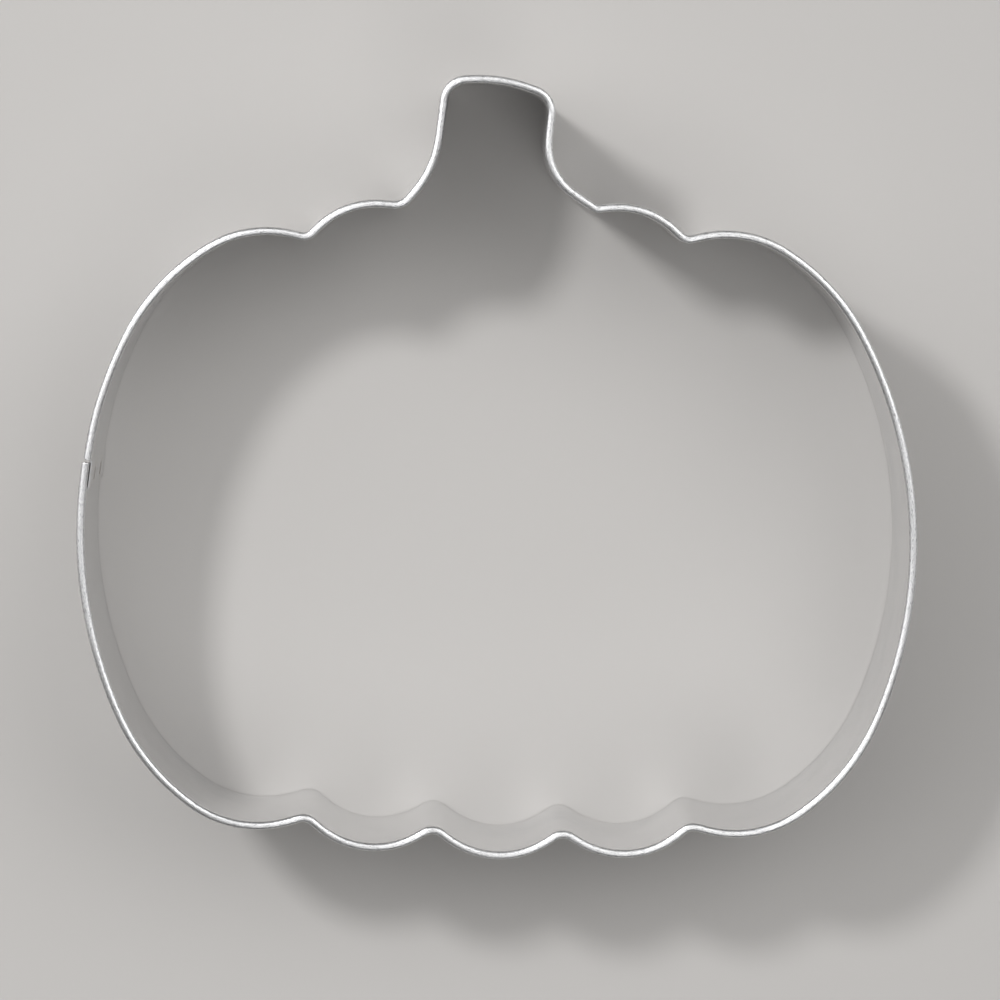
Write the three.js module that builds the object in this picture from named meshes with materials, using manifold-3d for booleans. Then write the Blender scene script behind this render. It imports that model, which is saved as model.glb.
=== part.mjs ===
// A pumpkin cookie cutter: one strip of tinned steel sheet, hemmed along its top edge, bent round the outline
// of the cookie and spot-welded where its two ends lap. Millimetres, +Z up, cutting edge at z = 0.
import * as THREE from 'three';
import { mergeVertices } from 'three/addons/utils/BufferGeometryUtils.js';
import Module from 'manifold-3d';

const wasm = await Module();
wasm.setup();

// Strip and rim
const DEPTH = 25; // cutting edge to the top of the rim
const SHEET = 0.2; // thickness of the sheet
const RIM_WIDTH = 0.88; // across the rounded hem
const HEM_LEG = 2; // how far down the outside the folded edge comes back
const LEG_GAP = 0.12; // between that edge and the wall

// Lapped seam on the left flank
const SEAM_Y = 0.5; // where the strip begins
const SEAM_GAP = 0.28; // between the two ends of the hem
const CLIP_SLANT = 0.44; // how much further the hem's outer side is cut back
const LEAN = 0.12; // how far the clipped end leans into the cookie
const LEAN_LENGTH = 6; // over which it does so
const LAP = 2.8; // length of the tab inside the other end
const LAP_GAP = 0.1; // between the two layers
const TAB_DROP = 1; // top of the tab below the rim

// Spot welds through both layers of the lap
const WELD_DIAMETER = 1.5;
const WELD_DISH = 0.04; // dent left by the electrode in each face
const WELD_CLEARANCE = 0.1;
const WELD_HEIGHTS = { spot_weld_upper: 17, spot_weld_lower: 7 };

// Bend radii of the outline: plus bulges out of the cookie, minus bends into it
const FLANK = 47; // long sides of the body
const HAUNCH = 23; // where a side turns towards the top or the bottom
const FOOT = 11.5; // bottom of a side lobe
const CROWN = 11.1; // top of a side lobe
const SCALLOP = 8.8; // three along the bottom
const SHOULDER = 8.2; // one on each side of the stem
const STEM_TOP = 15.3;
const STEM_CORNER = 2.1;
const FLARE_LEFT = -11.2; // hollow sides of the stem
const FLARE_RIGHT = -6.5;
const NECK_LEFT = -2.6; // between stem and shoulder
const NECK_RIGHT = -1.4;
const CLEFT = -1.9; // between shoulder and side lobe
const VALLEY = -2.1; // between the lobes along the bottom
const STRAIGHT = 400; // as good as straight

// The cookie's outline, which is the inner face of the strip: arcs about known centres, anticlockwise from
// the left flank. The radius named by blend is that of the arc that leads from one into the next.
const LOBES = [
  { centre: [3.25, -7.15], radius: FLANK, blend: HAUNCH }, // left flank
  { centre: [-25.4, -26.2], radius: FOOT, blend: VALLEY }, // foot of the left lobe
  { centre: [-12.95, -31.2], radius: SCALLOP, blend: VALLEY }, // left bottom scallop
  { centre: [0.35, -32.1], radius: SCALLOP, blend: VALLEY }, // middle bottom scallop
  { centre: [13.5, -31.95], radius: SCALLOP, blend: VALLEY }, // right bottom scallop
  { centre: [25.4, -27.1], radius: FOOT, blend: HAUNCH }, // foot of the right lobe
  { centre: [-3.2, -8.25], radius: FLANK, blend: HAUNCH }, // right flank
  { centre: [24.25, 13.2], radius: CROWN, blend: CLEFT }, // top of the right lobe
  { centre: [12.85, 18.95], radius: SHOULDER, blend: STRAIGHT }, // right shoulder
  { centre: [10.75, 28.35], radius: NECK_RIGHT, blend: STRAIGHT }, // right foot of the stem
  { centre: [11.5, 34], radius: FLARE_RIGHT, blend: STRAIGHT }, // right side of the stem
  { centre: [3.25, 37.55], radius: STEM_CORNER, blend: STEM_TOP }, // right corner of the stem
  { centre: [-3.1, 38.55], radius: STEM_CORNER, blend: STRAIGHT }, // left corner of the stem
  { centre: [-16.8, 36.2], radius: FLARE_LEFT, blend: NECK_LEFT }, // left side of the stem
  { centre: [-12.8, 19.35], radius: SHOULDER, blend: CLEFT }, // left shoulder
  { centre: [-24.4, 13.55], radius: CROWN, blend: HAUNCH }, // top of the left lobe
];

// Fineness of the facets
const CHORD_ERROR = 0.03;
const LARGEST_STEP = THREE.MathUtils.degToRad(10);
const FOLD_STEPS = 3; // half the facets round the fold
const LEAN_STEPS = 6;
const WELD_SIDES = 24;

const FULL_TURN = 2 * Math.PI;

// Where two arcs that run smoothly into each other meet
function touchPoint(arc, next) {
  return arc.centre.clone().lerp(next.centre, arc.radius / (arc.radius - next.radius));
}

function angleOn(arc, point) {
  return Math.atan2(point.y - arc.centre.y, point.x - arc.centre.x);
}

// The angle that an arc turns through between two of its points, minus where it turns clockwise
function turnBetween(arc, from, to) {
  const turn = THREE.MathUtils.euclideanModulo(angleOn(arc, to) - angleOn(arc, from), FULL_TURN);
  return arc.radius > 0 ? turn : turn - FULL_TURN;
}

// The arc that joins two others smoothly. Its centre is as far from each of theirs as their radii differ,
// and of the two such places the strip takes the one that turns it less.
function blendArc(arc, next, radius) {
  const span = arc.centre.distanceTo(next.centre);
  const reach = Math.abs(arc.radius - radius);
  const nextReach = Math.abs(next.radius - radius);
  const along = (reach ** 2 - nextReach ** 2 + span ** 2) / (2 * span);
  const aside = Math.sqrt(reach ** 2 - along ** 2);
  const way = next.centre.clone().sub(arc.centre).divideScalar(span);
  const choices = [aside, -aside].map((offset) => {
    const centre = arc.centre.clone().addScaledVector(way, along);
    centre.add(new THREE.Vector2(way.y, -way.x).multiplyScalar(offset));
    const blend = { centre, radius };
    const turn = turnBetween(blend, touchPoint(arc, blend), touchPoint(blend, next));
    return { blend, turn: Math.abs(turn) };
  });
  choices.sort((a, b) => a.turn - b.turn);
  return choices[0].blend;
}

// All arcs of the outline in order, each lobe followed by its blend
function outlineArcs() {
  const lobes = LOBES.map(({ centre, radius }) => ({ centre: new THREE.Vector2(...centre), radius }));
  return lobes.flatMap((lobe, i) => {
    const next = lobes[(i + 1) % lobes.length];
    return [lobe, blendArc(lobe, next, LOBES[i].blend)];
  });
}

// A place on an arc: a point of the cookie's outline, and the way out of the cookie there
function station(arc, angle) {
  const normal = new THREE.Vector2(Math.cos(angle), Math.sin(angle));
  const point = arc.centre.clone().addScaledVector(normal, Math.abs(arc.radius));
  return { point, normal: normal.multiplyScalar(Math.sign(arc.radius)) };
}

// Stations along a stretch of an arc, its last end left to the next stretch
function stretch(arc, start, turn) {
  const chordStep = 2 * Math.acos(1 - CHORD_ERROR / Math.abs(arc.radius));
  const steps = Math.ceil(Math.abs(turn) / Math.min(chordStep, LARGEST_STEP));
  return Array.from({ length: steps }, (_, i) => station(arc, start + (turn * i) / steps));
}

// A station shifted into the cookie
function shifted({ point, normal }, inwards) {
  return { point: point.clone().addScaledVector(normal, -inwards), normal };
}

const arcs = outlineArcs();
const flank = arcs[0];
const seamAngle = Math.PI - Math.asin((SEAM_Y - flank.centre.y) / FLANK);
const hemEndAngle = seamAngle - SEAM_GAP / FLANK;
const leanAngle = hemEndAngle - LEAN_LENGTH / FLANK;
const lapMiddle = station(flank, seamAngle + LAP / 2 / FLANK);

// Stations of the hemmed strip: from the seam once round the cookie to the hem's clipped end, which leans in
function stripStations() {
  const stations = [];
  arcs.forEach((arc, i) => {
    const before = arcs.at(i - 1);
    const next = arcs[(i + 1) % arcs.length];
    const start = i === 0 ? seamAngle : angleOn(arc, touchPoint(before, arc));
    const turn = turnBetween(arc, station(arc, start).point, touchPoint(arc, next));
    stations.push(...stretch(arc, start, turn));
  });
  const back = touchPoint(arcs.at(-1), flank);
  const leanStart = station(flank, leanAngle).point;
  stations.push(...stretch(flank, angleOn(flank, back), turnBetween(flank, back, leanStart)));
  for (let i = 0; i <= LEAN_STEPS; i += 1) {
    const place = station(flank, THREE.MathUtils.lerp(leanAngle, hemEndAngle, i / LEAN_STEPS));
    stations.push(shifted(place, LEAN * THREE.MathUtils.smoothstep(i, 0, LEAN_STEPS)));
  }
  return stations;
}

// Stations of the tab: it steps in by the sheet and the gap across the seam, then runs inside the other end
function tabStations() {
  const inside = SHEET + LAP_GAP;
  const lapEnd = station(flank, seamAngle + LAP / FLANK);
  return [station(flank, seamAngle), lapMiddle, lapEnd].map((place) => shifted(place, inside));
}

// Section of the hemmed strip: x outwards from the cookie, y up. The sheet goes up, round the fold and down
// again, drawn in towards the wall.
function hemmedSection() {
  const foldRadius = RIM_WIDTH / 2;
  const foldCentre = DEPTH - foldRadius;
  const legEnd = DEPTH - HEM_LEG;
  const tabTop = DEPTH - TAB_DROP;
  const section = new THREE.Shape();
  section.moveTo(0, 0);
  section.lineTo(SHEET, 0);
  section.lineTo(SHEET, tabTop);
  section.lineTo(SHEET, foldCentre);
  section.absarc(foldRadius, foldCentre, foldRadius - SHEET, Math.PI, 0, true);
  section.lineTo(SHEET + LEG_GAP, legEnd);
  section.lineTo(2 * SHEET + LEG_GAP, legEnd);
  section.lineTo(RIM_WIDTH, foldCentre);
  section.absarc(foldRadius, foldCentre, foldRadius, 0, Math.PI, false);
  section.lineTo(0, tabTop);
  return section.getPoints(FOLD_STEPS);
}

// The strip before it is clipped and welded: the hemmed section carried once round the cookie, and past the
// hem's end only the bare sheet of the tab, whose corners are the section's first three and its last
function bentStrip() {
  const positions = [];
  const indices = [];

  function ring({ point, normal }, outline) {
    return outline.map(({ x, y }) => {
      positions.push(point.x + normal.x * x, point.y + normal.y * x, y);
      return positions.length / 3 - 1;
    });
  }

  function skin(rings) {
    rings.slice(1).forEach((to, i) => {
      const from = rings[i];
      from.forEach((corner, j) => {
        const aside = (j + 1) % from.length;
        indices.push(corner, to[j], to[aside], corner, to[aside], from[aside]);
      });
    });
  }

  function cap(corners, outline, facesBack) {
    for (const [a, b, c] of THREE.ShapeUtils.triangulateShape(outline, [])) {
      const facing = facesBack ? [a, b, c] : [a, c, b];
      indices.push(...facing.map((corner) => corners[corner]));
    }
  }

  const tabCorners = (list) => [list[0], list[1], list[2], list.at(-1)];
  const section = hemmedSection();
  const sheet = tabCorners(section);
  const hemmed = stripStations().map((place) => ring(place, section));
  const tab = [tabCorners(hemmed.at(-1)), ...tabStations().map((place) => ring(place, sheet))];
  skin(hemmed);
  skin(tab);
  cap(hemmed[0], section, true);
  cap(hemmed.at(-1).slice(2), section.slice(2), false);
  cap(tab.at(-1), sheet, false);

  const geometry = new THREE.BufferGeometry();
  geometry.setAttribute('position', new THREE.Float32BufferAttribute(positions, 3));
  geometry.setIndex(indices);
  return geometry;
}

// A geometry as a solid to cut, and back
function solidOf(geometry) {
  const bare = geometry.clone();
  bare.deleteAttribute('normal');
  bare.deleteAttribute('uv');
  const merged = mergeVertices(bare);
  const vertProperties = merged.getAttribute('position').array;
  const triVerts = new Uint32Array(merged.index.array);
  return new wasm.Manifold(new wasm.Mesh({ numProp: 3, vertProperties, triVerts }));
}

function geometryOf(solid) {
  const { vertProperties, triVerts } = solid.getMesh();
  const geometry = new THREE.BufferGeometry();
  geometry.setAttribute('position', new THREE.BufferAttribute(vertProperties, 3));
  geometry.setIndex(new THREE.BufferAttribute(triVerts, 1));
  geometry.computeVertexNormals();
  return geometry;
}

// The frame of a station: x out of the cookie, y along the strip, z up
function frameAt({ point, normal }, height) {
  const out = new THREE.Vector3(normal.x, normal.y, 0);
  const along = new THREE.Vector3(-normal.y, normal.x, 0);
  const up = new THREE.Vector3(0, 0, 1);
  return new THREE.Matrix4().makeBasis(out, along, up).setPosition(point.x, point.y, height);
}

// The slanted cut that takes the outer half off the end of the hem
function hemClip() {
  const size = 4 * RIM_WIDTH;
  const halfRim = RIM_WIDTH / 2;
  const clip = new THREE.BoxGeometry(size, size, 4 * HEM_LEG);
  clip.translate(size / 2, size / 2, 0);
  clip.rotateZ(-Math.atan2(CLIP_SLANT, halfRim));
  clip.translate(halfRim, 0, 0);
  return clip.applyMatrix4(frameAt(shifted(station(flank, hemEndAngle), LEAN), DEPTH));
}

// The middle of the lap at a weld's height, halfway through its two layers
function weldFrame(height) {
  return frameAt(shifted(lapMiddle, LAP_GAP / 2), height);
}

function weldHole(height) {
  const radius = WELD_DIAMETER / 2 + WELD_CLEARANCE;
  const hole = new THREE.CylinderGeometry(radius, radius, 8 * SHEET, WELD_SIDES);
  return hole.rotateZ(-Math.PI / 2).applyMatrix4(weldFrame(height));
}

// A weld nugget: a slug through both layers with a shallow dent in each face
function weldNugget() {
  const radius = WELD_DIAMETER / 2;
  const half = SHEET + LAP_GAP / 2;
  const profile = [
    new THREE.Vector2(0, -half + WELD_DISH),
    new THREE.Vector2(radius, -half),
    new THREE.Vector2(radius, half),
    new THREE.Vector2(0, half - WELD_DISH),
  ];
  return new THREE.LatheGeometry(profile, WELD_SIDES).rotateZ(-Math.PI / 2);
}

function cutterStrip() {
  const cuts = [hemClip(), ...Object.values(WELD_HEIGHTS).map(weldHole)];
  return geometryOf(cuts.reduce((strip, cut) => strip.subtract(solidOf(cut)), solidOf(bentStrip())));
}

const tinplate = new THREE.MeshStandardMaterial({ color: 0xc9cacc, roughness: 0.28, metalness: 1 });
const weldMetal = new THREE.MeshStandardMaterial({ color: 0x9b9893, roughness: 0.5, metalness: 1 });

const cutter = new THREE.Group();
const strip = new THREE.Mesh(cutterStrip(), tinplate);
strip.name = 'cutter_strip';
cutter.add(strip);
for (const [name, height] of Object.entries(WELD_HEIGHTS)) {
  const weld = new THREE.Mesh(weldNugget(), weldMetal);
  weld.name = name;
  weld.applyMatrix4(weldFrame(height));
  cutter.add(weld);
}

// The origin is the middle of the strip's box, on the surface that the cutting edge stands on
const middle = new THREE.Box3().setFromObject(strip).getCenter(new THREE.Vector3());
cutter.position.set(-middle.x, -middle.y, 0);

export default cutter;
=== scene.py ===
# A pumpkin cookie cutter of bright tinned steel sheet, standing on its cutting edge on a pale table.
import math

import bpy
from mathutils import Matrix, Vector


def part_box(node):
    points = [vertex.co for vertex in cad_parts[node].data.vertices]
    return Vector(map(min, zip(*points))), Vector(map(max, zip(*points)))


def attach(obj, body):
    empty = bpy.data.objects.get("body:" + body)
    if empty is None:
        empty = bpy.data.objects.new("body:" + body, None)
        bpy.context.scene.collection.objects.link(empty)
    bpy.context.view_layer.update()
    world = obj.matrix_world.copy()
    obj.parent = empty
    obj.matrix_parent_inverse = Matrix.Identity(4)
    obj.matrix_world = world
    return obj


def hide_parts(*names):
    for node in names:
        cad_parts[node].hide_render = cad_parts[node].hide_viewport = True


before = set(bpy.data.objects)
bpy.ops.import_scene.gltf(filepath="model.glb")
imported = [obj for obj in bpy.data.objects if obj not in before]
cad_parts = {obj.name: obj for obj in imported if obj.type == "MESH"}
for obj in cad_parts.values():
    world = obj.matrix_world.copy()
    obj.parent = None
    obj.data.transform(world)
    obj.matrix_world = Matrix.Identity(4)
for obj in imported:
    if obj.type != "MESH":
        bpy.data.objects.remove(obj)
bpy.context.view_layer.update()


# The strip: tinned steel sheet 0.2 mm thick, slit some 28 mm wide. Its upper edge is folded outwards and
# down into a rounded hem, and the strip is then bent on edge round the cookie's outline in a forming tool.
# Past the end of the hem a bare tab steps in by one sheet and laps inside the other end.
SHEET = 0.00020
RIM_WIDTH = 0.00088
RIM_RISE = 0.00031
HEM_LEG = 0.0020
HEM_PINCH = 0.00036
TAB_DROP = 0.0010
SEAM_GAP = 0.00028
LAP = 0.0028
SEAM_REACH = 0.0070
OUTLINE_SHIFT = 0.00001
WANDER = 0.00009
WANDER_SIZE = 0.014
WANDER_ROOM = 0.000015
HEM_EDGE_WANDER = 0.00022
HEM_EDGE_WANDER_SIZE = 0.009
SHEARED_ROUND = 0.00003
SHEARED_ANGLE = math.radians(60)
SMOOTH_ANGLE = math.radians(38)
EDGE_ROW = 0.0001
WALL_STEPS = 12
FOLD_STEPS = 12
LEG_STEPS = 4
PATH_STEPS = 4
TAB_POINTS = 4
TAB_CUTS = 1
DOWNWARDS = -0.9
TOUCHING = SHEET / 100
ON_CUT = SHEET / 10
DENT_RADIUS = 0.00115
DENT_DEPTH = 0.00005
DENT_ROWS = 11
DENT_COLUMNS = 3
WELDS = ("spot_weld_upper", "spot_weld_lower")


def take_up(piece):
    """Selects this piece alone and makes it the active one."""
    bpy.ops.object.select_all(action="DESELECT")
    piece.select_set(True)
    bpy.context.view_layer.objects.active = piece


def pick(piece, kind, wanted):
    """Goes into edit mode with only the wanted ones of the piece's faces or edges selected."""
    take_up(piece)
    bpy.ops.object.mode_set(mode="EDIT")
    bpy.ops.mesh.select_mode(type=kind)
    bpy.ops.mesh.select_all(action="DESELECT")
    bpy.ops.object.mode_set(mode="OBJECT")
    for element in piece.data.polygons if kind == "FACE" else piece.data.edges:
        element.select = wanted(element)
    bpy.ops.object.mode_set(mode="EDIT")


def edge_ends(piece, edge):
    """The two points that an edge joins."""
    return [piece.data.vertices[i].co for i in edge.vertices]


def edge_length(piece, edge):
    """The distance between an edge's ends."""
    first, second = edge_ends(piece, edge)
    return (first - second).length


# the line that the sheet's inner face stands on, taken from the solid's foot
strip_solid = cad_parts["cutter_strip"]
strip = bpy.data.objects.new("hemmed_strip", strip_solid.data.copy())
bpy.context.collection.objects.link(strip)
take_up(strip)
bpy.ops.object.mode_set(mode="EDIT")
bpy.ops.mesh.select_all(action="SELECT")
bpy.ops.mesh.remove_doubles(threshold=TOUCHING)
bpy.ops.object.mode_set(mode="OBJECT")
pick(strip, "FACE", lambda face: face.normal.z > DOWNWARDS or face.center.z > SHEET)
bpy.ops.mesh.delete(type="FACE")
bpy.ops.mesh.select_all(action="SELECT")
bpy.ops.mesh.region_to_loop()
bpy.ops.mesh.select_all(action="INVERT")
bpy.ops.mesh.delete(type="EDGE_FACE")
bpy.ops.object.mode_set(mode="OBJECT")
weld_centres = {name: sum(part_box(name), Vector()) / 2 for name in WELDS}


def from_lap(edge):
    """How far an edge of the foot's outline is from the middle of the lap."""
    first, second = edge_ends(strip, edge)
    return ((first + second) / 2 - weld_centres[WELDS[0]]).xy.length


lap_edges = [edge for edge in strip.data.edges if from_lap(edge) < LAP]
sheet_ends = sorted(lap_edges, key=lambda edge: edge_length(strip, edge))[:2]
end_numbers = [edge.index for edge in sheet_ends]
pick(strip, "EDGE", lambda edge: edge.index in end_numbers)
bpy.ops.mesh.delete(type="EDGE")
bpy.ops.mesh.separate(type="LOOSE")
bpy.ops.object.mode_set(mode="OBJECT")
lines = sorted(
    bpy.context.selected_objects,
    key=lambda line: sum(edge_length(line, edge) for edge in line.data.edges),
)
strip, outer_line = lines
bpy.data.objects.remove(outer_line)
strip.name = "hemmed_strip"

# it runs from the seam round the cookie to the tab's end, as one smooth curve
take_up(strip)
bpy.ops.object.convert(target="CURVE")
points = strip.data.splines[0].points
tab_first = points[0].co.y < points[-1].co.y
bpy.ops.object.mode_set(mode="EDIT")
bpy.ops.curve.select_all(action="SELECT")
if tab_first:
    bpy.ops.curve.switch_direction()
bpy.ops.curve.select_all(action="DESELECT")
for point in strip.data.splines[0].points[-TAB_POINTS:]:
    point.select = True
bpy.ops.curve.subdivide(number_cuts=TAB_CUTS)
bpy.ops.curve.select_all(action="SELECT")
bpy.ops.curve.spline_type_set(type="NURBS")
bpy.ops.object.mode_set(mode="OBJECT")
bent_line = strip.data.splines[0]
bent_line.order_u = 4
bent_line.use_endpoint_u = True
bent_line.resolution_u = PATH_STEPS
strip.data.dimensions = "3D"
strip.data.twist_mode = "Z_UP"

# the section follows the sheet's face up the cookie side, over the fold and down the folded leg, with a
# close row beside each sheared edge, so that the shading of the edge's rounding stays there
rim_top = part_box("cutter_strip")[1].z
tab_top = rim_top - TAB_DROP
fold_foot = rim_top - RIM_RISE
fold_radius = RIM_WIDTH / 2 - WANDER_ROOM
leg_length = fold_foot - (rim_top - HEM_LEG)
heights = [tab_top * i / WALL_STEPS for i in range(WALL_STEPS + 1)]
outline = [Vector((0, height)) for height in sorted(heights + [EDGE_ROW, tab_top - EDGE_ROW])]
for i in range(FOLD_STEPS + 1):
    turn = math.pi * i / FOLD_STEPS
    rise = (RIM_RISE - WANDER_ROOM) * math.sin(turn)
    outline.append(Vector((fold_radius * (1 - math.cos(turn)), fold_foot + rise)))
leg_shares = sorted([1 - EDGE_ROW / leg_length] + [i / LEG_STEPS for i in range(1, LEG_STEPS + 1)])
for down in leg_shares:
    pinch = HEM_PINCH * down * down * (3 - 2 * down)
    outline.append(Vector((2 * fold_radius - pinch, fold_foot - leg_length * down)))
section_curve = bpy.data.curves.new("sheet_section", "CURVE")
section_curve.dimensions = "2D"
section_line = section_curve.splines.new("POLY")
section_line.points.add(len(outline) - 1)
for point, place in zip(section_line.points, outline):
    point.co = (place.x + OUTLINE_SHIFT, place.y + OUTLINE_SHIFT, 0, 1)
section = bpy.data.objects.new("sheet_section", section_curve)
bpy.context.collection.objects.link(section)
strip.data.bevel_mode = "OBJECT"
strip.data.bevel_object = section
take_up(strip)
bpy.ops.object.convert(target="MESH")
bpy.data.objects.remove(section)

# the UV map is the flat blank in metres: along the strip, and across it from the cutting edge
rows = len(outline)
feet = [strip.data.vertices[i].co.copy() for i in range(0, len(strip.data.vertices), rows)]
along = [0.0]
for before, after in zip(feet, feet[1:]):
    along.append(along[-1] + (after - before).length)
across = [0.0]
for before, after in zip(outline, outline[1:]):
    across.append(across[-1] + (after - before).length)
flat_blank = strip.data.uv_layers[0]
flat_blank.name = "flat_blank"
for loop in strip.data.loops:
    ring, row = divmod(loop.vertex_index, rows)
    flat_blank.data[loop.index].uv = (along[ring], across[row])

# no bent sheet is quite even: the wall wanders a little, and so does the lower edge of the hem
hem_edge = strip.vertex_groups.new(name="hem_edge")
for i, down in enumerate(leg_shares):
    leg_row = range(rows - len(leg_shares) + i, len(strip.data.vertices), rows)
    hem_edge.add(list(leg_row), down, "REPLACE")


def wander(piece, direction, size, amount, group=""):
    """Moves the piece's points a little along one axis by slow, cloudy noise."""
    clouds = bpy.data.textures.new(f"wander_{direction}", "CLOUDS")
    clouds.noise_scale = size
    clouds.noise_basis = "IMPROVED_PERLIN" if direction == "X" else "ORIGINAL_PERLIN"
    displace = piece.modifiers.new("wander", "DISPLACE")
    displace.texture = clouds
    displace.texture_coords = "LOCAL"
    displace.direction = direction
    displace.strength = amount
    displace.mid_level = 0.5
    displace.vertex_group = group
    take_up(piece)
    bpy.ops.object.modifier_apply(modifier=displace.name)


wander(strip, "X", WANDER_SIZE, WANDER)
wander(strip, "Y", WANDER_SIZE, WANDER)
wander(strip, "Z", HEM_EDGE_WANDER_SIZE, HEM_EDGE_WANDER, "hem_edge")

# the hem stops short of the seam, its outer half clipped on the slant, and leaves the bare tab; beside each
# of these cuts and the strip's first end there is a close row again
seam = feet[0]
downstrip = (feet[1] - feet[0]).normalized()
outwards = downstrip.cross(Vector((0, 0, 1)))
hem_end = seam - downstrip * SEAM_GAP
clip_corner = hem_end + outwards * RIM_WIDTH / 2
clip_normal = (outwards + downstrip).normalized()


def place_on_blank(face):
    """The middle of a face on the flat blank."""
    corners = [strip.data.uv_layers["flat_blank"].data[i].uv for i in face.loop_indices]
    return sum(corners, Vector((0, 0))) / len(corners)


def on_start(face):
    """Whether a face belongs to the first stretch of the strip, from the seam on."""
    return (face.center - seam).xy.length < SEAM_REACH and place_on_blank(face).x < SEAM_REACH


def on_hem_end(face):
    """Whether a face belongs to the last stretch of the hem, over the tab and just before it."""
    if (face.center - hem_end).xy.length > SEAM_REACH:
        return False
    middle = place_on_blank(face)
    return middle.x > along[-1] - SEAM_REACH and middle.y > tab_top


for wanted, corner, normal in (
    (on_start, seam + downstrip * EDGE_ROW, downstrip),
    (on_hem_end, hem_end - downstrip * EDGE_ROW, downstrip),
    (on_hem_end, clip_corner - clip_normal * EDGE_ROW, clip_normal),
    (on_hem_end, hem_end, downstrip),
    (on_hem_end, clip_corner, clip_normal),
):
    pick(strip, "FACE", wanted)
    bpy.ops.mesh.bisect(plane_co=corner, plane_no=normal, threshold=ON_CUT)
    bpy.ops.object.mode_set(mode="OBJECT")
pick(
    strip,
    "FACE",
    lambda face: on_hem_end(face)
    and ((face.center - hem_end).dot(downstrip) > 0 or (face.center - clip_corner).dot(clip_normal) > 0),
)
bpy.ops.mesh.delete(type="FACE")
bpy.ops.object.mode_set(mode="OBJECT")


# each spot weld pressed the two layers of the lap together, which left a round dent in either face
def around(centre, edge):
    """Whether an edge lies in the patch of the lap that a weld dents."""
    first, second = edge_ends(strip, edge)
    offset = (first + second) / 2 - centre
    return abs(offset.z) < 2 * DENT_RADIUS and offset.xy.length < 2 * DENT_RADIUS


def is_upright(edge):
    """Whether an edge climbs more than half its length."""
    first, second = edge_ends(strip, edge)
    return abs(first.z - second.z) > edge_length(strip, edge) / 2


for centre in weld_centres.values():
    pick(strip, "EDGE", lambda edge: around(centre, edge) and is_upright(edge))
    bpy.ops.mesh.subdivide(number_cuts=DENT_ROWS)
    bpy.ops.object.mode_set(mode="OBJECT")
    pick(
        strip,
        "EDGE",
        lambda edge: around(centre, edge) and not is_upright(edge) and edge_length(strip, edge) > 2 * SHEET,
    )
    bpy.ops.mesh.subdivide(number_cuts=DENT_COLUMNS)
    bpy.ops.object.mode_set(mode="OBJECT")
    for vertex in strip.data.vertices:
        offset = vertex.co - centre
        depth = offset.dot(outwards)
        reach = (offset - outwards * depth).length / DENT_RADIUS
        if reach < 1 and abs(depth) < 2 * SHEET:
            dent = DENT_DEPTH * (1 - reach * reach) ** 2
            vertex.co -= outwards * math.copysign(dent, depth)


def add_node(tree, kind, inputs=None, **options):
    """Adds a shader node with these options, and fills each input with a value or a link."""
    made = tree.nodes.new(kind)
    for option, value in options.items():
        setattr(made, option, value)
    for name, value in (inputs or {}).items():
        if isinstance(value, bpy.types.NodeSocket):
            tree.links.new(value, made.inputs[name])
        else:
            made.inputs[name].default_value = value
    return made


def remap(tree, value, low, high, out_low=0.0, out_high=1.0):
    """A value spread from one range to another and held within it."""
    inputs = {"Value": value, "From Min": low, "From Max": high, "To Min": out_low, "To Max": out_high}
    return add_node(tree, "ShaderNodeMapRange", inputs).outputs["Result"]


def sum_of(tree, first, second, share=1.0):
    """One value plus a share of another."""
    inputs = {0: second, 1: share, 2: first}
    return add_node(tree, "ShaderNodeMath", inputs, operation="MULTIPLY_ADD").outputs[0]


def product_of(tree, first, second):
    """One value times another."""
    return add_node(tree, "ShaderNodeMath", {0: first, 1: second}, operation="MULTIPLY").outputs[0]


def blend(tree, share, first, second):
    """One colour, with a share of another laid over it."""
    inputs = {"Factor": share, "A": first, "B": second}
    return add_node(tree, "ShaderNodeMix", inputs, data_type="RGBA").outputs["Result"]


def ramp(tree, value, stops):
    """Colours between stops of a place and a colour each, the first at 0 and the last at 1."""
    made = add_node(tree, "ShaderNodeValToRGB", {"Fac": value})
    elements = made.color_ramp.elements
    elements[0].color = stops[0][1]
    elements[1].color = stops[-1][1]
    for place, colour in stops[1:-1]:
        elements.new(place).color = colour
    return made


def new_metal(name):
    """A new material of bare metal, with its node tree and its shader."""
    made = bpy.data.materials.new(name)
    made.use_nodes = True
    shader = made.node_tree.nodes["Principled BSDF"]
    shader.inputs["Metallic"].default_value = 1.0
    return made, made.node_tree, shader


def streaks(tree, vector, scale, detail, turn=0.0):
    """Noise drawn out along the blank: scale is the number of streaks per metre along and across it."""
    inputs = {"Vector": vector, "Scale": (*scale, 1), "Rotation": (0, 0, turn)}
    drawn = add_node(tree, "ShaderNodeMapping", inputs)
    inputs = {"Vector": drawn.outputs["Vector"], "Scale": 1, "Detail": detail, "Roughness": 0.6}
    return add_node(tree, "ShaderNodeTexNoise", inputs).outputs["Fac"]


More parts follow.
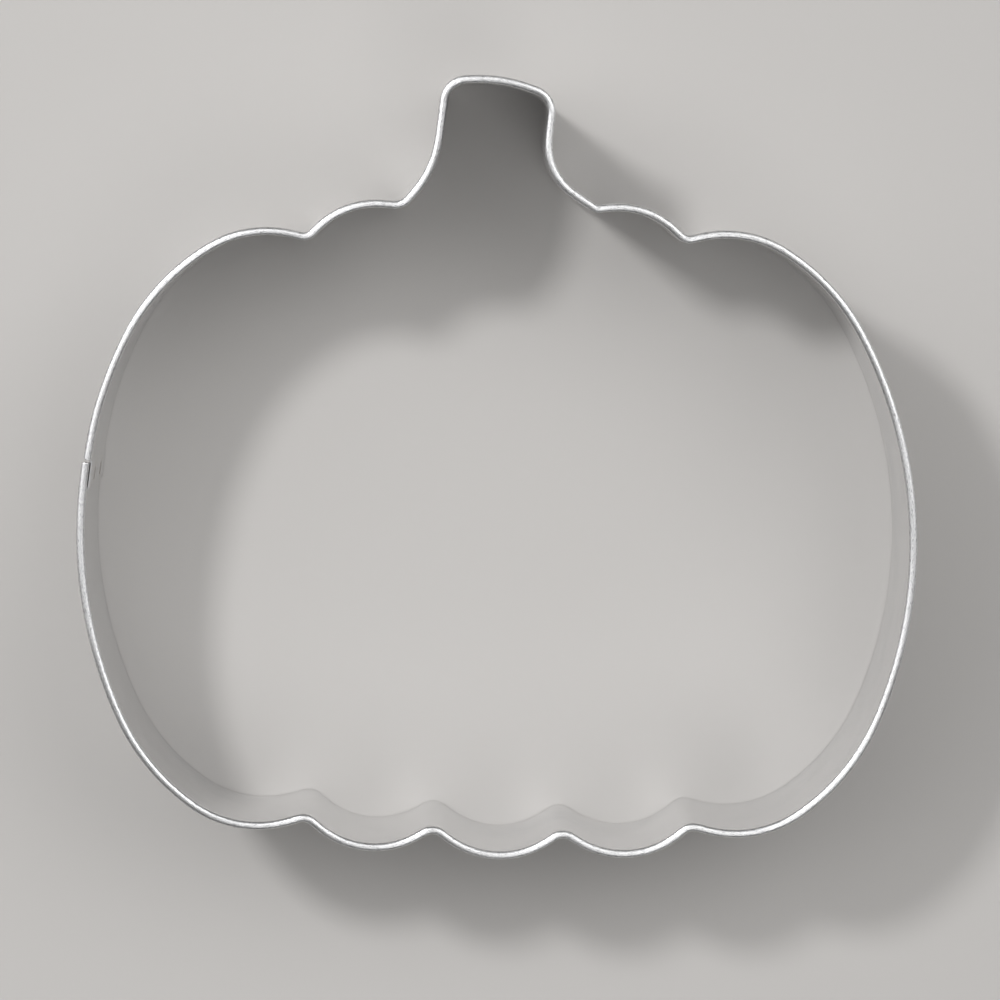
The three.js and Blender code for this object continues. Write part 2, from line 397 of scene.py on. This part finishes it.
# the finish: bright tin, with the lines of the rolling mill along the strip, hairline scratches and dull
# smears, and along the rim, which the forming tool rubbed, a fine grain with dark specks
TIN_DARK = (0.74, 0.74, 0.75, 1)
TIN_BRIGHT = (0.87, 0.87, 0.865, 1)
TIN_SPECK = (0.30, 0.30, 0.31, 1)
SPECK_SHARE = 0.8
MILL_LINES = (60, 9000)
MILL_BANDS = (9, 1300)
HAIRLINES = (240, 15000)
HAIRLINE_SLANT = 0.35
RIM_GRAIN = (3000, 8000)
RIM_SPECKS = (1500, 9000)
SMEARS = 75
GLOSSIEST = 0.11
DULLEST = 0.17
RIM_DULLING = 0.17
SMEAR_DULLING = 0.1
HAIRLINE_DULLING = 0.1
GRAIN_RELIEF = 2.2
TIN_RELIEF = 0.000012
BRUSHING = 0.5

tinplate, tree, shader = new_metal("bright_tinplate")
blank = add_node(tree, "ShaderNodeUVMap", uv_map="flat_blank").outputs["UV"]
place = add_node(tree, "ShaderNodeTexCoord").outputs["Object"]
width_place = add_node(tree, "ShaderNodeSeparateXYZ", {"Vector": blank}).outputs["Y"]
mill_lines = streaks(tree, blank, MILL_LINES, 2)
mill_bands = streaks(tree, blank, MILL_BANDS, 3)
hairlines = remap(tree, streaks(tree, blank, HAIRLINES, 1, HAIRLINE_SLANT), 0.69, 0.74)
smears = add_node(tree, "ShaderNodeTexNoise", {"Vector": place, "Scale": SMEARS, "Detail": 4})
smear = remap(tree, smears.outputs["Fac"], 0.48, 0.72)
fold_end = across[-1] - leg_length
fold_begun = remap(tree, width_place, fold_foot - RIM_WIDTH / 2, fold_foot + RIM_WIDTH / 8)
fold_left = remap(tree, width_place, fold_end - RIM_WIDTH / 8, fold_end + RIM_WIDTH / 2, 1, 0)
on_rim = product_of(tree, fold_begun, fold_left)
grain = product_of(tree, remap(tree, streaks(tree, blank, RIM_GRAIN, 2), 0.35, 0.65, -0.5, 0.5), on_rim)
specks = remap(tree, streaks(tree, blank, RIM_SPECKS, 2), 0.56, 0.68, 0, SPECK_SHARE)
tone = sum_of(tree, sum_of(tree, mill_bands, mill_lines, 0.4), smear, -0.12)
tone = remap(tree, sum_of(tree, tone, grain, 0.8), 0.45, 0.95)
tin = ramp(tree, tone, ((0, TIN_DARK), (1, TIN_BRIGHT))).outputs["Color"]
tin = blend(tree, product_of(tree, specks, on_rim), tin, TIN_SPECK)

# round each weld the heat left a straw and brown ring on the tin, whose fourth value is how much it covers
HEAT_REACH = 0.0022
HEAT_TINTS = (
    (0, (0.50, 0.50, 0.53, 0.9)),
    (0.36, (0.52, 0.50, 0.52, 0.85)),
    (0.48, (0.56, 0.50, 0.43, 0.62)),
    (0.66, (0.76, 0.69, 0.55, 0.32)),
    (1, (0.86, 0.85, 0.82, 0)),
)
weld_distances = [
    add_node(tree, "ShaderNodeVectorMath", {0: place, 1: centre}, operation="DISTANCE").outputs["Value"]
    for centre in weld_centres.values()
]
nearest = add_node(tree, "ShaderNodeMath", dict(enumerate(weld_distances)), operation="MINIMUM").outputs[0]
heat = ramp(tree, remap(tree, nearest, 0, HEAT_REACH), HEAT_TINTS)
tin = blend(tree, heat.outputs["Alpha"], tin, heat.outputs["Color"])

gloss = sum_of(tree, remap(tree, mill_bands, 0.3, 0.7, GLOSSIEST, DULLEST), smear, SMEAR_DULLING)
gloss = sum_of(tree, gloss, on_rim, RIM_DULLING)
gloss = sum_of(tree, gloss, hairlines, HAIRLINE_DULLING)
relief = sum_of(tree, sum_of(tree, mill_lines, mill_bands, 0.8), hairlines, -0.6)
relief = sum_of(tree, relief, grain, GRAIN_RELIEF)
bump = add_node(tree, "ShaderNodeBump", {"Height": relief, "Strength": 0.35, "Distance": TIN_RELIEF})
tangent = add_node(tree, "ShaderNodeTangent", direction_type="UV_MAP", uv_map="flat_blank")
tree.links.new(tin, shader.inputs["Base Color"])
tree.links.new(gloss, shader.inputs["Roughness"])
tree.links.new(bump.outputs["Normal"], shader.inputs["Normal"])
tree.links.new(tangent.outputs["Tangent"], shader.inputs["Tangent"])
shader.inputs["Anisotropic"].default_value = BRUSHING
shader.inputs["Anisotropic Rotation"].default_value = 0.25

# the sheared edges show the bare steel, dull and finely torn across
STEEL_DARK = (0.40, 0.40, 0.41, 1)
STEEL_BRIGHT = (0.62, 0.61, 0.60, 1)
TEARS = 6000
TEAR_RELIEF = 0.00001

sheared_edge, tree, shader = new_metal("sheared_edge")
place = add_node(tree, "ShaderNodeTexCoord").outputs["Object"]
tears = add_node(tree, "ShaderNodeTexNoise", {"Vector": place, "Scale": TEARS, "Detail": 2}).outputs["Fac"]
steel = ramp(tree, tears, ((0, STEEL_DARK), (1, STEEL_BRIGHT)))
bump = add_node(tree, "ShaderNodeBump", {"Height": tears, "Strength": 0.3, "Distance": TEAR_RELIEF})
tree.links.new(steel.outputs["Color"], shader.inputs["Base Color"])
tree.links.new(remap(tree, tears, 0.3, 0.7, 0.35, 0.5), shader.inputs["Roughness"])
tree.links.new(bump.outputs["Normal"], shader.inputs["Normal"])
strip.data.materials.clear()
strip.data.materials.append(tinplate)
strip.data.materials.append(sheared_edge)

# the face gets the sheet's thickness behind it, and the slitter's edges are barely rounded
thickness = strip.modifiers.new("thickness", "SOLIDIFY")
thickness.thickness = SHEET
thickness.offset = -1
thickness.material_offset_rim = 1
edges = strip.modifiers.new("edges", "BEVEL")
edges.width = SHEARED_ROUND
edges.segments = 2
edges.limit_method = "ANGLE"
edges.angle_limit = SHEARED_ANGLE
edges.use_clamp_overlap = False
take_up(strip)
bpy.ops.object.modifier_apply(modifier=thickness.name)
bpy.ops.object.modifier_apply(modifier=edges.name)
bpy.ops.object.shade_smooth_by_angle(angle=SMOOTH_ANGLE)

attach(strip, "root")
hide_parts("cutter_strip")


# The two spot welds: nuggets of fused steel that hold the lap, one above the other. The electrodes left a
# dull round face with a low lip on either side of it, lying in the dent that they pressed into the sheet.
WELD_RADIUS = 0.00075
WELD_SIDES = 48
WELD_RINGS = (
    (0.00071, 0.000012),
    (0.00064, 0.000005),
    (0.00050, 0.000003),
    (0.00032, 0.000005),
    (0.00012, 0.000008),
)
WELD_EDGE_SINK = SHEET / 20
WELD_SMOOTH_ANGLE = math.radians(50)
LAP_GAP = 0.0001
SCORCH_TINTS = ((0, (0.50, 0.49, 0.48, 1)), (0.6, (0.58, 0.56, 0.54, 1)), (1, (0.40, 0.37, 0.35, 1)))
GRIT = 9000
TOOL_RINGS = 60
WELD_RELIEF = 0.00001
lap_half = SHEET + LAP_GAP / 2


def weld_face(radius, proud):
    """Height of the weld's face over the middle of the lap: the dented sheet, and what stands proud of it."""
    return lap_half - DENT_DEPTH * (1 - (radius / DENT_RADIUS) ** 2) ** 2 + proud


weld_metal, tree, shader = new_metal("dull_weld")
place = add_node(tree, "ShaderNodeTexCoord").outputs["Object"]
from_centre = add_node(tree, "ShaderNodeAttribute", attribute_name="from_centre").outputs["Fac"]
grit = add_node(tree, "ShaderNodeTexNoise", {"Vector": place, "Scale": GRIT, "Detail": 3}).outputs["Fac"]
rings = product_of(tree, from_centre, TOOL_RINGS)
rings = add_node(tree, "ShaderNodeMath", {0: rings}, operation="SINE").outputs[0]
scorch = ramp(tree, remap(tree, sum_of(tree, from_centre, grit, 0.35), 0.1, 1.25), SCORCH_TINTS)
relief = sum_of(tree, grit, rings, 0.12)
bump = add_node(tree, "ShaderNodeBump", {"Height": relief, "Strength": 0.5, "Distance": WELD_RELIEF})
tree.links.new(scorch.outputs["Color"], shader.inputs["Base Color"])
tree.links.new(remap(tree, grit, 0.3, 0.7, 0.38, 0.52), shader.inputs["Roughness"])
tree.links.new(bump.outputs["Normal"], shader.inputs["Normal"])

for name, centre in weld_centres.items():
    bpy.ops.object.select_all(action="DESELECT")
    bpy.ops.mesh.primitive_circle_add(vertices=WELD_SIDES, radius=WELD_RADIUS, fill_type="NGON")
    weld = bpy.context.active_object
    weld.name = name.replace("spot_weld", "weld_spot")
    bpy.ops.object.mode_set(mode="EDIT")
    bpy.ops.mesh.select_mode(type="FACE")
    bpy.ops.mesh.select_all(action="SELECT")
    height = weld_face(WELD_RADIUS, -WELD_EDGE_SINK)
    bpy.ops.mesh.extrude_region_move(TRANSFORM_OT_translate={"value": (0, 0, height)})
    radius = WELD_RADIUS
    for ring_radius, proud in WELD_RINGS:
        rise = weld_face(ring_radius, proud) - height
        bpy.ops.mesh.inset(thickness=radius - ring_radius)
        bpy.ops.transform.translate(value=(0, 0, rise))
        radius = ring_radius
        height += rise
    bpy.ops.mesh.poke()
    bpy.ops.object.mode_set(mode="OBJECT")
    pick(weld, "FACE", lambda face: face.center.z < TOUCHING)
    bpy.ops.mesh.delete(type="FACE")
    bpy.ops.object.mode_set(mode="OBJECT")
    other_side = weld.modifiers.new("other_side", "MIRROR")
    other_side.use_axis = (False, False, True)
    other_side.merge_threshold = TOUCHING
    bpy.ops.object.modifier_apply(modifier=other_side.name)
    share = weld.data.attributes.new("from_centre", "FLOAT", "POINT")
    for vertex, value in zip(weld.data.vertices, share.data):
        value.value = vertex.co.xy.length / WELD_RADIUS
    weld.matrix_world = Matrix.Translation(centre) @ outwards.to_track_quat("Z", "Y").to_matrix().to_4x4()
    bpy.ops.object.transform_apply(location=True, rotation=True, scale=True)
    bpy.ops.object.shade_smooth_by_angle(angle=WELD_SMOOTH_ANGLE)
    weld.data.materials.append(weld_metal)
    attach(weld, "root")
    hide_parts(name)


# The table: a plain pale top, far larger than the cutter, a hair below the cutting edge.
TABLE_WIDTH = 6.0
TABLE_DROP = SHEET / 10
TABLE_COLOUR = (0.50, 0.485, 0.47, 1)
TABLE_ROUGHNESS = 0.7

bpy.ops.object.select_all(action="DESELECT")
bpy.ops.mesh.primitive_plane_add(size=TABLE_WIDTH, location=(0, 0, -TABLE_DROP))
table = bpy.context.active_object
table.name = "table"
table_top = bpy.data.materials.new("table_top")
table_top.use_nodes = True
table_shader = table_top.node_tree.nodes["Principled BSDF"]
table_shader.inputs["Base Color"].default_value = TABLE_COLOUR
table_shader.inputs["Roughness"].default_value = TABLE_ROUGHNESS
table.data.materials.append(table_top)


# The light: a soft lamp at the upper left, as the shadows fall. Soft screens stand beside it, at the back,
# on the right and in front, and the rest of the room is dim, so that the metal has something dark to mirror.
# Each screen has its direction, the angles at which it begins to fade and ends, and its strength.
KEY_SIZE = 0.12
KEY_DISTANCE = 0.9
KEY_POWER = 3.2
KEY_FROM = Vector((-14, 12, 25)).normalized()
SCREENS = (
    (Vector((-0.256, 0.248, 0.934)), 9, 21, 1.7),
    (Vector((-0.663, 0.213, 0.718)), 10, 27, 1.2),
    (Vector((0.034, 0.438, 0.898)), 5, 20, 0.5),
    (Vector((0.428, 0.354, 0.832)), 10, 23, 2.4),
    (Vector((0.784, 0.151, 0.603)), 10, 26, 0.9),
    (Vector((0.169, -0.373, 0.912)), 6, 18, 2.3),
)
ROOM_LEVEL = 0.13

lamp = bpy.data.lights.new("key", "AREA")
lamp.shape = "DISK"
lamp.size = KEY_SIZE
lamp.energy = KEY_POWER
key = bpy.data.objects.new("key", lamp)
key.location = KEY_FROM * KEY_DISTANCE
key.rotation_euler = KEY_FROM.to_track_quat("Z", "Y").to_euler()
bpy.context.collection.objects.link(key)

room = bpy.data.worlds.new("room")
room.use_nodes = True
bpy.context.scene.world = room
tree = room.node_tree
direction = add_node(tree, "ShaderNodeTexCoord").outputs["Generated"]


def screen(towards, full, faded):
    """A soft-edged bright screen: 1 within one angle of its middle, fading to 0 at another."""
    inputs = {0: direction, 1: towards}
    nearness = add_node(tree, "ShaderNodeVectorMath", inputs, operation="DOT_PRODUCT").outputs["Value"]
    inputs = {
        "Value": nearness,
        "From Min": math.cos(math.radians(faded)),
        "From Max": math.cos(math.radians(full)),
    }
    return add_node(tree, "ShaderNodeMapRange", inputs, interpolation_type="SMOOTHSTEP").outputs["Result"]


level = ROOM_LEVEL
for towards, full, faded, strength in SCREENS:
    level = sum_of(tree, level, screen(towards.normalized(), full, faded), strength)
tree.links.new(level, tree.nodes["Background"].inputs["Strength"])
tree.nodes["Background"].inputs["Color"].default_value = (1, 1, 1, 1)


# The camera: it looks almost straight down on the cutter from 640 mm, a little off its middle.
CAMERA_PLACE = (-0.004449, 0.033692, 0.640427)
CAMERA_TURN = (-3.4409, -0.4421, 0.0082)
LENS = 209.556
SENSOR_WIDTH = 36

camera_data = bpy.data.cameras.new("camera")
camera_data.sensor_width = SENSOR_WIDTH
camera_data.lens = LENS
camera = bpy.data.objects.new("camera", camera_data)
camera.location = CAMERA_PLACE
camera.rotation_euler = [math.radians(angle) for angle in CAMERA_TURN]
bpy.context.collection.objects.link(camera)
bpy.context.scene.camera = camera
bpy.context.scene.view_settings.view_transform = "Standard"
